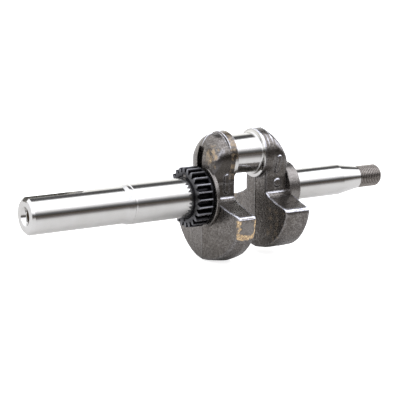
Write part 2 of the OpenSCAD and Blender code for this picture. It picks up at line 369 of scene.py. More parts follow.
def gear_side_field():
    """The gear-side web as a field: the counterweight and neck, the knob and the strip round
    the pin."""
    low, high = span("gear_side_counterweight")
    thickness = high - low
    u, half, y, z = web_grid(thickness)
    # Half of the counterweight's outline, from the shoulder to its tip and closed below the rim
    weight = polygon_distance(half, z, [
        (-40, -2), (14, -2), (18, -3.8), (29.2, -6.8), (37.9, -8.5), (40.6, -9.4),
        (41.8, -11.3), (39.9, -23.5), (60, -60), (-40, -60)])
    neck = neck_field(half, z)
    body = smooth_min(neck, weight, 3.4)
    # The rim is crowned: it is largest two fifths of the way through the web
    rim_r = np.interp(u, [0, 0.4 * thickness, thickness], [45.4, 46.8, 45.2])
    body = smooth_max(body, np.sqrt(half ** 2 + z ** 2) - rim_r, 1.0)
    body = smooth_max(body, u - thickness + DRAFT * half, 0.9)
    body = smooth_max(body, slope(u, z, (thickness, 20), (17, PIN_Z)), 3)

    knob_r, knob_foot_z = 16.6, 10
    circle = np.sqrt(half ** 2 + (z - PIN_Z) ** 2)
    outline = np.maximum(smooth_min(circle - knob_r, neck, 3), knob_foot_z - z)
    whole = smooth_min(body, gear_side_knob(u, half, z, outline), 1.5)
    whole = smooth_max(whole, INNER_DRAFT * half - u, 0.7)

    strip_r, strip_u, strip_start_u = 17.25, 6.3, 0.15
    strip = np.maximum(circle - strip_r, u - strip_u)
    strip = smooth_max(strip, strip_start_u - u, 0.6)
    whole = smooth_min(whole, strip, 0.3)
    return as_forged(whole, u, half, y, z, [(7.4, 9.0, 4.6, 2.1)])


def flywheel_side_field():
    """The flywheel-side web as a field: the counterweight, the neck under its sloping roof and
    the round pad under the pin's collar."""
    low, high = span("flywheel_side_counterweight")
    thickness = high - low
    neck_thickness = span("flywheel_side_web")[1] - low - 1.2
    u, half, y, z = web_grid(thickness)
    weight = polygon_distance(half, z, [
        (-40, -2), (14, -2), (17, -3.8), (25.5, -6.8), (34, -8.8), (35.4, -9.6),
        (36.5, -10.9), (37.0, -13), (60, -60), (-40, -60)])
    rim_drop = 4.3
    rim_r = np.interp(u, [0, 5, thickness], [36.9, 37.8, 37.8])
    weight = smooth_max(weight, np.sqrt(half ** 2 + (z + rim_drop) ** 2) - rim_r, 0.9)
    weight = smooth_max(weight, u - thickness + 0.03 * half, 0.9)

    head_r = 17.3
    head = np.sqrt(half ** 2 + (z - PIN_Z) ** 2) - head_r
    upper = smooth_min(neck_field(half, z), head, 4)
    roof_start, roof_foot, roof_depth, roof_h, power = 4.4, 19.4, 14.3, 27.8, 1.1
    rise = np.maximum(u - roof_start, 0) / roof_depth
    lift = np.maximum(z - roof_foot, 0) / roof_h
    roof = ((rise ** power + lift ** power) ** (1 / power) - 1) * roof_depth
    roof = roof - 0.3 * np.maximum(roof_foot - z, 0)
    upper = smooth_max(upper, roof, 5.5)
    upper = smooth_max(upper, u - neck_thickness - 0.6 + DRAFT * half, 1.0)
    # The neck meets the counterweight's top in a tighter corner on the far side
    whole = smooth_min(upper, weight, np.where(y > 0, 1.2, 3.4))
    whole = smooth_max(whole, INNER_DRAFT * half - u, 0.7)

    pad_r, pad_start_u, pad_end_u = 17.4, -2.7, 5
    pad = np.sqrt(half ** 2 + (z - PIN_Z + COLLAR_DROP) ** 2) - pad_r
    pad = np.maximum(pad, u - pad_end_u)
    pad = smooth_max(pad, pad_start_u - u, 0.6)
    whole = smooth_min(whole, pad, 0.6)
    return as_forged(whole, u, half, y, z, [(9.0, 19.5, 4.5, 1.9), (10.3, 5.6, 0, 2.9)])


def sample(field, points):
    """The field's values at mesh points, taken from the nearest grid point."""
    index = np.rint((points - GRID_LOW) / GRID).astype(int)
    index = np.clip(index, 0, np.array(field.shape) - 1)
    return field[tuple(index.T)]


def forging(name, field, thickness, place_x, direction, cutter=None):
    """Meshes a web's field and puts it in place; direction is -1 where u runs towards -X.
    Stores how sharply the surface bends as "bend", above zero on outward edges and below it in
    corners. Returns the piece and its points as (u, y, z)."""
    points, quads = surface_net(field, GRID_LOW, GRID)
    points = relax(points, quads, 1)
    bend = sample(soften(field, 6) - field, points)
    # Slow and fast waves, in millimetres, that take the flatness off the forged faces
    for i, p in enumerate(points):
        here = Vector(p)
        lump = 0.10 * noise.noise(here * 0.16) + 0.05 * noise.noise(here * 0.55)
        points[i] = p + lump * np.array((here.x - thickness / 2, here.y, here.z)) / 30
    points[:, 0] = place_x + direction * points[:, 0]
    if direction < 0:
        quads = quads[:, ::-1]
    piece = make_object(name, points, quads.tolist(), sharp_degrees=60)
    point_values(piece, "bend", bend)
    if cutter:
        combine(piece, cutter, sharp_degrees=50)
    local = mesh_points(piece)
    local[:, 0] = direction * (local[:, 0] - place_x)
    return piece, local


# ---------------------------------------------------------------- materials

class Nodes:
    """Short calls for building one material's nodes."""

    def __init__(self, name):
        self.material = bpy.data.materials.new(name)
        self.material.use_nodes = True
        self.tree = self.material.node_tree
        self.shader = self.tree.nodes["Principled BSDF"]
        self.place = self.tree.nodes.new("ShaderNodeTexCoord").outputs["Object"]

    def link(self, source, target):
        self.tree.links.new(source, target)

    def feed(self, value, socket):
        """Sets a socket to a number or an (r, g, b) colour, or links another node's output."""
        if isinstance(value, (int, float)):
            socket.default_value = value
        elif isinstance(value, tuple):
            socket.default_value = (*value, 1)
        else:
            self.link(value, socket)

    def scaled(self, scale):
        step = self.tree.nodes.new("ShaderNodeMapping")
        step.inputs["Scale"].default_value = scale
        self.link(self.place, step.inputs["Vector"])
        return step.outputs["Vector"]

    def noise(self, scale, detail=3, stretch=(1, 1, 1), roughness=0.55):
        """Noise whose scale is in lumps per metre, multiplied by stretch along each axis."""
        step = self.tree.nodes.new("ShaderNodeTexNoise")
        step.inputs["Scale"].default_value = scale
        step.inputs["Detail"].default_value = detail
        step.inputs["Roughness"].default_value = roughness
        self.link(self.scaled(stretch), step.inputs["Vector"])
        return step.outputs["Fac"]

    def ramp(self, factor, stops):
        """Colour ramp: stops are (position, (r, g, b)) or (position, value)."""
        step = self.tree.nodes.new("ShaderNodeValToRGB")
        ramp = step.color_ramp
        while len(ramp.elements) < len(stops):
            ramp.elements.new(1)
        for element, (position, colour) in zip(ramp.elements, stops):
            element.position = position
            if not isinstance(colour, tuple):
                colour = (colour, colour, colour)
            element.color = (*colour, 1)
        self.link(factor, step.inputs["Fac"])
        return step.outputs["Color"]

    def mix(self, factor, a, b):
        step = self.tree.nodes.new("ShaderNodeMix")
        step.data_type = "RGBA"
        for value, key in ((factor, "Factor"), (a, "A"), (b, "B")):
            socket = next(s for s in step.inputs if s.name == key and s.enabled)
            self.feed(value, socket)
        return next(s for s in step.outputs if s.enabled)

    def math(self, operation, a, b=0.0):
        step = self.tree.nodes.new("ShaderNodeMath")
        step.operation = operation
        for value, socket in zip((a, b), step.inputs):
            self.feed(value, socket)
        return step.outputs["Value"]

    def facing(self):
        """The surface's direction, as its X, Y and Z parts."""
        parts = self.tree.nodes.new("ShaderNodeSeparateXYZ")
        shape = self.tree.nodes.new("ShaderNodeNewGeometry")
        self.link(shape.outputs["Normal"], parts.inputs["Vector"])
        return parts.outputs["X"], parts.outputs["Y"], parts.outputs["Z"]

    def attribute(self, name):
        """A number stored on the mesh by point_values."""
        step = self.tree.nodes.new("ShaderNodeAttribute")
        step.attribute_name = name
        return step.outputs["Fac"]

    def bump(self, height, strength, distance, normal=None):
        step = self.tree.nodes.new("ShaderNodeBump")
        step.inputs["Strength"].default_value = strength
        step.inputs["Distance"].default_value = distance
        self.link(height, step.inputs["Height"])
        if normal is not None:
            self.link(normal, step.inputs["Normal"])
        return step.outputs["Normal"]

    def set(self, **sockets):
        for name, value in sockets.items():
            self.feed(value, self.shader.inputs[name.replace("_", " ")])


def ground_steel(name, bright, dull, ring_scale=2600, roughness=(0.13, 0.24)):
    """Ground or turned steel: fine rings round the X axis, with faint handling stains."""
    n = Nodes(name)
    rings = n.noise(1, 2, (ring_scale, 9, 9))
    broad = n.noise(55, 3, (1, 1, 1))
    stain = n.noise(150, 4, (0.35, 1, 1))
    colour = n.mix(n.ramp(broad, [(0.3, 0.0), (0.75, 1.0)]), bright, dull)
    colour = n.mix(n.ramp(rings, [(0.35, 0.0), (0.8, 0.35)]), colour, dull)
    colour = n.mix(n.ramp(stain, [(0.6, 0.0), (0.78, 0.35)]), colour,
                   tuple(0.72 * c for c in dull))
    smooth, rough = roughness
    n.set(Base_Color=colour, Metallic=1.0, Anisotropic=0.35,
          Roughness=n.ramp(n.mix(0.5, rings, stain), [(0.3, smooth), (0.75, rough)]),
          Normal=n.bump(rings, 0.25, 0.00001))
    return n.material


def forging_skin():
    """Shot-blasted forging scale: dark and grainy, with a metallic sheen, lighter edges that are
    partly wear and partly painted highlight, painted shade on upright sides, and brown patches.
    It reads the attributes bend, film, rust and sheared."""
    scale_brown, scale_grey = (0.196, 0.179, 0.159), (0.240, 0.225, 0.212)
    grime, pit, speck = (0.120, 0.107, 0.095), (0.085, 0.075, 0.068), (0.36, 0.35, 0.34)
    # Of the first two colours here, the first is painted shade for upright sides and the second a
    # painted highlight mixed with edge wear
    painted_shade, edge_wear_and_highlight, bare_metal = (0.070, 0.062, 0.054), (0.84, 0.85, 0.92), (0.25, 0.235, 0.22)
    rust_brown, rust_yellow = (0.38, 0.235, 0.11), (0.80, 0.60, 0.34)

    n = Nodes("forging_skin")
    broad = n.noise(40, 4)
    medium = n.noise(260, 4)
    grain = n.noise(900, 3)
    fine = n.noise(2400, 3)
    colour = n.mix(n.ramp(broad, [(0.35, 0.0), (0.65, 1.0)]), scale_brown, scale_grey)
    colour = n.mix(n.ramp(medium, [(0.4, 0.0), (0.62, 0.65)]), colour, grime)
    colour = n.mix(n.ramp(grain, [(0.42, 0.0), (0.60, 0.70)]), colour, pit)
    colour = n.mix(n.ramp(grain, [(0.30, 0.45), (0.42, 0.0)]), colour, speck)

    # Edges and corners, broken up by the grain, are lighter where they face up: on outward edges
    # this is partly wear and partly a painted highlight of the light from above, and in inner
    # corners it is only a painted highlight
    _, side, up = n.facing()
    bend = n.attribute("bend")
    wear_and_highlight = n.math("ADD", n.ramp(bend, [(0.024, 0.0), (0.062, 0.95)]),
                    n.ramp(n.math("MULTIPLY", bend, -1.0), [(0.022, 0.0), (0.06, 0.8)]))
    wear_and_highlight = n.math("MULTIPLY", wear_and_highlight, n.ramp(grain, [(0.38, 1.0), (0.64, 0.55)]))
    wear_and_highlight = n.math("MULTIPLY", wear_and_highlight, n.ramp(up, [(0.25, 0.08), (0.65, 1.0)]))
    # The sharpest edges are lighter whichever way they face, partly from wear and partly as a
    # painted highlight
    wear_and_highlight = n.math("ADD", wear_and_highlight, n.ramp(bend, [(0.20, 0.0), (0.38, 0.45)]))
    # Painted shade: the upright sides of the necks and knobs, which face sideways rather than up,
    # are darkened on the upper parts of the forgings, by the amount stored on the mesh
    upright = n.ramp(n.math("ABSOLUTE", side), [(0.30, 0.0), (0.62, 1.0)])
    upright = n.math("MULTIPLY", upright, n.ramp(up, [(0.20, 1.0), (0.58, 0.0)]))
    colour = n.mix(n.math("MULTIPLY", upright, n.attribute("side_shade")), colour, painted_shade)
    # Painted highlight, mixed with edge wear, over the lighter edges and corners
    colour = n.mix(wear_and_highlight, colour, edge_wear_and_highlight)
    rusty = n.math("MULTIPLY", n.attribute("rust"), n.ramp(medium, [(0.32, 0.55), (0.50, 1.0)]))
    rust = n.mix(n.ramp(grain, [(0.38, 0.0), (0.60, 1.0)]), rust_brown, rust_yellow)
    colour = n.mix(rusty, colour, rust)
    colour = n.mix(n.attribute("sheared"), colour, bare_metal)

    bumps = n.bump(medium, 0.35, 0.0003)
    bumps = n.bump(grain, 0.6, 0.00018, bumps)
    bumps = n.bump(fine, 0.35, 0.00005, bumps)
    roughness = n.ramp(grain, [(0.35, 0.21), (0.65, 0.33)])
    n.set(Base_Color=colour, Metallic=n.math("SUBTRACT", 0.93, n.math("MULTIPLY", rusty, 0.6)),
          Roughness=n.mix(wear_and_highlight, roughness, (0.22, 0.22, 0.22)), Normal=bumps)
    return n.material


def black_oxide():
    """The timing gear: oiled black oxide, bright from wear on the tooth tips, and lighter on the
    front face outside the bore."""
    n = Nodes("black_oxide_gear")
    broad = n.noise(90, 4)
    fine = n.noise(1800, 3)
    colour = n.mix(n.ramp(broad, [(0.3, 0.0), (0.7, 1.0)]), (0.007, 0.007, 0.008),
                   (0.016, 0.015, 0.017))
    tips_worn_face_lighter = n.math("MULTIPLY", n.attribute("tips_worn_face_lighter"), n.ramp(broad, [(0.3, 0.5), (0.6, 1.0)]))
    colour = n.mix(tips_worn_face_lighter, colour, (0.27, 0.27, 0.285))
    n.set(Base_Color=colour, Metallic=0.93, Roughness=n.ramp(fine, [(0.3, 0.22), (0.7, 0.36)]),
          Specular_IOR_Level=0.3, Normal=n.bump(fine, 0.35, 0.00003))
    return n.material


def thread_steel():
    """The rolled thread: dark brownish steel, lighter at the crests."""
    n = Nodes("thread_steel")
    broad = n.noise(200, 4)
    fine = n.noise(2200, 3)
    colour = n.mix(n.ramp(broad, [(0.3, 0.0), (0.7, 1.0)]), (0.095, 0.083, 0.074),
                   (0.145, 0.130, 0.118))
    colour = n.mix(n.math("MULTIPLY", n.attribute("crest"), 0.8), colour, (0.40, 0.37, 0.34))
    n.set(Base_Color=colour, Metallic=1.0, Roughness=n.ramp(fine, [(0.3, 0.20), (0.7, 0.34)]),
          Normal=n.bump(fine, 0.3, 0.00003))
    return n.material


def dress(piece, material, slot, *nodes):
    """Gives a piece its material and its place in the frame."""
    piece.data.materials.clear()
    piece.data.materials.append(material)
    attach(piece, "root")
    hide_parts(*nodes)


def point_values(piece, name, values):
    """Stores one number per mesh point for a material to read."""
    layer = piece.data.attributes.new(name, "FLOAT", "POINT")
    layer.data.foreach_set("value", np.asarray(values, dtype=np.float32))


def scale_point_values(piece, name, factors):
    """Multiplies numbers stored by point_values."""
    layer = piece.data.attributes[name]
    values = np.empty(len(factors))
    layer.data.foreach_get("value", values)
    layer.data.foreach_set("value", (values * factors).astype(np.float32))


def mesh_points(piece):
    points = np.empty(len(piece.data.vertices) * 3)
    piece.data.vertices.foreach_get("co", points)
    return points.reshape(-1, 3) / MM


# ---------------------------------------------------------------- the output end

KEYWAY_W = 6.35
KEYWAY_DEPTH = 3.2
KEYWAY_LEN = 27.7
KEYWAY_CUTTER_R = 57
SHAFT_CHAMFER = 1.6
HOLE_R, HOLE_LEN = 4.3, 30
# The countersink's widest radius and its depth
MOUTH_R, MOUTH_LEN = 6.3, 3.2


def output_shaft(steel, bore_steel):
    """The keyed shaft, with the drill's cone at the end of its hole."""
    x0, x1 = span("output_shaft")
    r = radius("output_shaft")
    outline = [(x0 + HOLE_LEN + 2.2, 0), (x0 + HOLE_LEN, HOLE_R), (x0 + MOUTH_LEN, HOLE_R),
               (x0 + 0.25, MOUTH_R), (x0, MOUTH_R + 0.25), (x0, r - SHAFT_CHAMFER),
               (x0 + 0.15, r - SHAFT_CHAMFER + 0.1), (x0 + SHAFT_CHAMFER, r), (x1, r), (x1, 0)]
    piece = lathe("output_shaft", outline)
    floor_z = r - KEYWAY_DEPTH
    full_depth_end = x0 + KEYWAY_LEN
    combine(piece, box_cutter("slot", (x0 - 1, -KEYWAY_W / 2, floor_z),
                              (full_depth_end, KEYWAY_W / 2, r + 2)))
    combine(piece, disc_cutter("run_out", (full_depth_end, 0, floor_z + KEYWAY_CUTTER_R),
                               KEYWAY_CUTTER_R, KEYWAY_W))
    dress(piece, steel, "ground_steel", "output_shaft")
    piece.data.materials.append(bore_steel)
    for face in piece.data.polygons:
        middle = face.center / MM
        if math.hypot(middle.y, middle.z) < HOLE_R + 0.3 and middle.x > x0 + 1:
            face.material_index = 1


def end_hole_thread(bore_steel):
    """The thread in the tapped hole, as a fine helical ridge on the hole's wall."""
    x0 = span("output_shaft")[0]
    helical_sleeve("end_hole_thread", x0 + 3.4, x0 + 26, r=4.45, pitch=1.06, depth=-0.5,
                   material=bore_steel)


def seal_lead_in(steel):
    """A cone up to a narrow land, then a shallow groove before the journal."""
    x0, x1 = span("seal_lead_in")
    small, big = radius("output_shaft"), radius("pto_journal")
    length = x1 - x0
    land, groove = x0 + 0.5 * length, x0 + 0.75 * length
    low = big - 0.5
    outline = [(x0, 0), (x0, small), (x0 + 0.3, small + 0.03), (land - 0.3, big - 0.1),
               (land + 0.1, big - 0.05), (groove - 0.1, big - 0.05), (groove + 0.4, low),
               (x1 - 0.5, low), (x1, big - 0.02), (x1, 0)]
    dress(lathe("seal_lead_in", outline), steel, "ground_steel", "seal_lead_in")


def pto_journal(steel):
    x0, x1 = span("pto_journal")
    outline = bar_outline(x0, x1, radius("pto_journal"), 0.15, 0.3)
    dress(lathe("pto_journal", outline), steel, "ground_steel", "pto_journal")


# ---------------------------------------------------------------- the timing gear

TEETH = 24
GEAR_MODULE = 1.6
PRESSURE_ANGLE = math.radians(20)
# Where the first tooth's middle is, from +Y towards +Z
FIRST_TOOTH = math.radians(87)
GEAR_TIP_R = GEAR_MODULE * (TEETH / 2 + 1.1)
GEAR_ROOT_R = GEAR_MODULE * (TEETH / 2 - 1.12)
GEAR_RIM_R = GEAR_MODULE * (TEETH / 2 + 0.75)
GEAR_RIM_W = 1.3
GEAR_SHARP = 30


def tooth_points(tip_cut):
    """One tooth's outline as (radius, angle from its middle), tip lowered by tip_cut."""
    pitch_r = GEAR_MODULE * TEETH / 2
    base_r = pitch_r * math.cos(PRESSURE_ANGLE)

    def half(r):
        def involute(q):
            a = math.acos(min(1, base_r / q))
            return math.tan(a) - a
        return math.pi / 2 / TEETH + involute(pitch_r) - involute(max(r, base_r))

    tip = GEAR_TIP_R - tip_cut
    heights = [GEAR_ROOT_R, GEAR_ROOT_R + 0.25, base_r, (base_r + pitch_r) / 2, pitch_r,
               (pitch_r + GEAR_TIP_R) / 2, GEAR_TIP_R - 0.22]
    # The root is a little wider than the flank above it, and the tip's corners are cut back
    root_widening, corner_cut = 0.012, 0.010
    flank = [(min(h, tip), -half(h)) for h in heights]
    flank[0] = (GEAR_ROOT_R, -half(GEAR_ROOT_R) - root_widening)
    flank.append((tip, -half(GEAR_TIP_R) + corner_cut))
    other = [(h, -a) for h, a in reversed(flank)]
    return flank + [(tip, 0.0)] + other + [(GEAR_ROOT_R, math.pi / TEETH)]


def gear_ring(x, tip_cut):
    ring = []
    for tooth in range(TEETH):
        middle = FIRST_TOOTH + AROUND * tooth / TEETH
        ring += [(x, r * math.cos(middle + a), r * math.sin(middle + a))
                 for r, a in tooth_points(tip_cut)]
    return ring


def timing_gear(oxide):
    """The teeth with chamfered ends, a plain rim behind them, the bore with its keyway, and the
    small timing hole in the front face."""
    x0, x1 = span("timing_gear")
    seat_r = radius("gear_seat")
    teeth_end = x1 - GEAR_RIM_W
    rings = [gear_ring(x, cut) for x, cut in
             ((x0, 0.45), (x0 + 0.4, 0), (teeth_end - 0.3, 0), (teeth_end, 0.3))]
    size = len(rings[0])
    points = [p for ring in rings for p in ring]
    faces = [tuple(range(size)), tuple(range(4 * size - 1, 3 * size - 1, -1))]
    for i in range(3):
        faces += ring_band(i * size, (i + 1) * size, size)
    piece = make_object("timing_gear", points, faces, GEAR_SHARP)

    low, high = corners("gear_key")
    rim = lathe("rim", [(teeth_end - 0.4, 0), (teeth_end - 0.4, GEAR_RIM_R - 0.3),
                        (teeth_end, GEAR_RIM_R), (x1 - 0.25, GEAR_RIM_R),
                        (x1, GEAR_RIM_R - 0.25), (x1, 0)])
    combine(piece, rim, "UNION", GEAR_SHARP)
    bore = lathe("bore", [(x0 - 1, 0), (x0 - 1, seat_r + 1.7), (x0 + 0.7, seat_r),
                          (x1 + 1, seat_r), (x1 + 1, 0)])
    combine(piece, bore, sharp_degrees=GEAR_SHARP)
    keyway = box_cutter("keyway", low - (2, 0.03, 5), high + (2, 0.03, 0.05))
    combine(piece, keyway, sharp_degrees=GEAR_SHARP)
    dot_r = 0.85
    dot = lathe("dot", [(x0 - 1, 0), (x0 - 1, dot_r), (x0 + 0.7, dot_r), (x0 + 1.2, 0)],
                -(seat_r + 1.7), 48)
    combine(piece, dot, sharp_degrees=GEAR_SHARP)

    # The tooth tips are lighter from wear, and the front face is lighter from a little outside
    # the bore outwards
    where = mesh_points(piece)
    r = np.hypot(where[:, 1], where[:, 2])
    tips = np.clip((r - GEAR_TIP_R + 0.35) / 0.3, 0, 1)
    face = (where[:, 0] < x0 + 0.05) * np.clip((r - seat_r - 2.0) / 3.0, 0, 1)
    point_values(piece, "tips_worn_face_lighter", np.maximum(tips, 0.75 * face))
    dress(piece, oxide, "black_oxide_gear", "timing_gear")


def gear_key(key_steel):
    low, high = corners("gear_key")
    key = box_cutter("gear_key", low + (0.3, 0, 0), high - (0.2, 0, 0.1))
    edge = key.modifiers.new("edge", "BEVEL")
    edge.width = 0.3 * MM
    edge.segments = 2
    dress(key, key_steel, "key_steel", "gear_key")


def gear_seat(oxide):
    """The gear's seat with the key's slot, given the gear's dark material."""
    x0, x1 = span("gear_seat")
    seat = lathe("gear_seat", bar_outline(x0, x1, radius("gear_seat"), 0.4, 0.1))
    low, high = corners("gear_key")
    combine(seat, box_cutter("seat_slot", low - (0.02, 0.02, 0.02), high + (2, 0.02, 5)))
    dress(seat, oxide, "ground_steel", "gear_seat")


# ---------------------------------------------------------------- the crank throw

def web_slot():
    """Cutter for the slot milled up the middle of the gear-side web."""
    cutter_r, cutter_w, floor_u, middle_z = 30, 6.5, 16.4, 22
    centre = (PIN_X[0] - floor_u - cutter_r, 0, middle_z)
    return disc_cutter("web_slot", centre, cutter_r, cutter_w)


def gear_side_boss(skin):
    x0, x1 = span("gear_side_boss")
    piece = lathe("gear_side_boss", bar_outline(x0, x1, radius("gear_side_boss"), 0.5, 0.1))
    combine(piece, web_slot())
    where = mesh_points(piece)
    point_values(piece, "rust", np.zeros(len(where)))
    point_values(piece, "sheared", 0.35 * (where[:, 0] < x0 + 0.6))
    dress(piece, skin, "forging_skin", "gear_side_boss")


def waves(points, scale):
    """Smooth random numbers, about -1 to 1, one for each point."""
    return np.array([noise.noise(Vector(p) * scale) for p in points])


def gear_side_forging(skin):
    low, high = span("gear_side_counterweight")
    piece, local = forging("gear_side_forging", gear_side_field(), high - low, PIN_X[0], -1,
                           web_slot())
    u, y, z = local.T
    half = np.abs(y)
    wobble = waves(local, 0.45)
    # The counterweight's sheared ends are bare in the middle and rusty round their borders:
    # the rows are how far a point is past the patch's inner, outer, top and bottom border
    end = (half > 38.5) & (z < -11.2) & (z > -29)
    sides = np.stack([3.4 - u, u - 14.0, z + 12.4, -21.6 - z])
    side = sides.argmax(axis=0)
    outside = sides.max(axis=0) + 1.7 * wobble
    border = np.clip(outside / 0.7, 0, 1) * np.clip((4.4 - outside) / 1.2, 0, 1)
    amount = np.choose(side, [0.95, 0.55, 0.25, 1.3])
    amount = amount + np.choose(side, [0.3, 1.2, 0.5, 0.3]) * wobble
    rust = end * border * np.clip(amount, 0, 1)
    # A faint spot on the near side of the knob, and a trace along the strip round the pin
    spot = np.sqrt((u - 17.5) ** 2 + ((z - 29) / 1.3) ** 2 + (y + 10) ** 2)
    rust = np.maximum(rust, 0.5 * np.clip(0.9 - spot / 5.5 + 1.1 * wobble, 0, 0.8))
    strip = (z > 12) & (u < 6.2) & (half > 2)
    rust = np.maximum(rust, strip * np.clip(0.12 + 0.4 * wobble, 0, 0.25))
    point_values(piece, "rust", np.clip(rust, 0, 1))
    # Where painted shade darkens the upright sides: from 5 mm below the shaft's axis upwards
    point_values(piece, "side_shade", 0.9 * np.clip((z + 5) / 6, 0, 1))
    point_values(piece, "sheared", end * np.clip(-outside / 1.2, 0, 1) * 0.6)
    # The edges near the pin get less of the painted highlight and edge wear
    around_pin = (z > 17) & (u < 10)
    scale_point_values(piece, "bend", np.where(around_pin, 0.3, 1.0))
    dress(piece, skin, "forging_skin", "gear_side_web", "gear_side_counterweight")


def flywheel_side_forging(skin):
    low, high = span("flywheel_side_counterweight")
    piece, local = forging("flywheel_side_forging", flywheel_side_field(), high - low, low, 1)
    u, y, z = local.T
    # A trace of rust over the outer parts of the counterweight's inner face
    inner_face = (np.abs(y) > 14) & (z < -6) & (u < 2.5)
    point_values(piece, "rust", inner_face * np.clip(0.4 * waves(local, 0.3), 0, 0.18))
    # Where painted shade darkens the upright sides, more weakly: from the shaft's axis upwards
    point_values(piece, "side_shade", 0.5 * np.clip(z / 6, 0, 1))
    point_values(piece, "sheared", np.zeros(len(local)))
    dress(piece, skin, "forging_skin", "flywheel_side_web", "flywheel_side_counterweight")


def crankpin(steel):
    """The pin, with a fillet at each collar."""
    x0, x1 = PIN_X
    r = 13.7
    gear_side_r, flywheel_side_r = 0.4, 2.0
    turn = [math.radians(a) for a in range(0, 91, 15)]
    near = [(x0 + gear_side_r * (1 - math.cos(a)), r + gear_side_r * (1 - math.sin(a)))
            for a in turn]
    far = [(x1 - flywheel_side_r * (1 - math.sin(a)), r + flywheel_side_r * (1 - math.cos(a)))
           for a in turn]
    outline = [(x0, 0), *near, *far, (x1, 0)]
    dress(lathe("crankpin", outline, PIN_Z), steel, "ground_steel", "crankpin")


def pin_collars(steel):
    """The machined cheek faces beside the pin, flush in the forgings' round pads."""
    r = radius("flywheel_side_pin_collar") - 0.15
    for node in ("gear_side_pin_collar", "flywheel_side_pin_collar"):
        x0, x1 = span(node)
        outline = bar_outline(x0, x1, r, 0.25, 0.25)
        dress(lathe(node, outline, PIN_Z - COLLAR_DROP), steel, "turned_steel", node)


# ---------------------------------------------------------------- the flywheel end

def flywheel_side_boss(skin):
    x0, x1 = span("flywheel_side_boss")
    outline = bar_outline(x0, x1, radius("flywheel_side_boss"), 0.6, 0.7)
    piece = lathe("flywheel_side_boss", outline)
    count = len(piece.data.vertices)
    point_values(piece, "rust", np.zeros(count))
    point_values(piece, "sheared", np.full(count, 0.6))
    dress(piece, skin, "forging_skin", "flywheel_side_boss")


def flywheel_journal(steel):
    x0, x1 = span("flywheel_journal")
    r = radius("flywheel_journal")
    outline = [(x0, 0), (x0, r + 0.3), (x0 + 0.3, r), (x1, r), (x1, 0)]
    dress(lathe("flywheel_journal", outline), steel, "ground_steel", "flywheel_journal")


def flywheel_taper(steel):
    x0, x1 = span("flywheel_taper")
    big, small = radius("flywheel_taper"), 8.25
    outline = [(x0, 0), (x0, big), (x1 - 0.05, small), (x1, small - 0.05), (x1, 0)]
    dress(lathe("flywheel_taper", outline), steel, "ground_steel", "flywheel_taper")


def helix_grid(xs, around, pitch):
    """Points of a tube as x and angle, with how far each lies from a right-hand thread's
    crest: 0 at the crest and 1 half a pitch away."""
    turn = np.arange(around) * AROUND / around
    x, a = np.meshgrid(xs, turn, indexing="ij")
    phase = ((x - xs[0]) / pitch - a / AROUND) % 1
    return x, a, np.abs(2 * phase - 1)


def tube_points(x, wall, a):
    return np.stack([x, wall * np.cos(a), wall * np.sin(a)], -1).reshape(-1, 3)


def helical_sleeve(name, x0, x1, r, pitch, depth, material, rise=0.12, around=96):
    """A thread as a closed sleeve. A negative depth cuts a bore's thread instead of a bolt's."""
    rows = int((x1 - x0) / rise)
    x, a, off_crest = helix_grid(np.linspace(x0, x1, rows), around, pitch)
    ridge = np.clip(1.6 * (1 - off_crest) - 0.3, 0, 1)
    fade = np.clip((x - x0) / pitch, 0, 1) * np.clip((x1 - x) / pitch, 0, 1)
    wall = r - depth * (1 - ridge) * fade
    back = r - depth * 2
    ends = [(e, back * math.cos(b), back * math.sin(b)) for e in (x1, x0) for b in a[0]]
    points = np.concatenate([tube_points(x, wall, a), ends])
    faces = []
    total = rows + 2
    for i in range(total):
        faces += ring_band(i * around, (i + 1) % total * around, around)
    piece = make_object(name, points, faces)
    point_values(piece, "crest", np.concatenate([(ridge * fade).ravel(), np.zeros(2 * around)]))
    dress(piece, material, "ground_steel")


def threaded_end(material):
    """The flywheel nut's thread, cut as a true helix with a run-out, an end chamfer and a
    centre drilled in its end."""
    x0, x1 = span("threaded_end")
    r, pitch, depth = 8.0, 1.5, 0.85
    centre_r, centre_depth = 2.2, 1.2
    rows, around = 200, 160
    x, a, off_crest = helix_grid(np.linspace(x0, x1, rows), around, pitch)
    ridge = np.clip(1.5 * (1 - off_crest) - 0.15, 0, 1)
    fade = np.clip((x - x0 - 0.5) / 1.2, 0, 1)
    wall = r - depth * (1 - ridge) * fade
    wall = np.minimum(wall, 6.3 + 0.72 * (x1 - x))
    points = np.concatenate([tube_points(x, wall, a),
                             [(x0, 0, 0), (x1, 0, 0), (x1 - centre_depth, 0, 0)]])
    first, dimple = len(points) - 3, len(points) - 1
    centre = [(x1, centre_r * math.cos(b), centre_r * math.sin(b)) for b in a[0]]
    points = np.concatenate([points, centre])
    faces = []
    for i in range(rows - 1):
        faces += ring_band(i * around, (i + 1) * around, around)
    end, inner = (rows - 1) * around, dimple + 1
    for j in range(around):
        k = (j + 1) % around
        faces.append((first, k, j))
        faces.append((end + j, end + k, inner + k, inner + j))
        faces.append((inner + j, inner + k, dimple))
    piece = make_object("threaded_end", points, faces)
    point_values(piece, "crest", np.concatenate([(ridge * fade).ravel(), np.zeros(3 + around)]))
    dress(piece, material, "thread_steel", "threaded_end")


# ---------------------------------------------------------------- stage and light

FLOOR_HALF_M = 6
TENT_STRENGTH = 2.7
BACKDROP_STRENGTH = 1.2


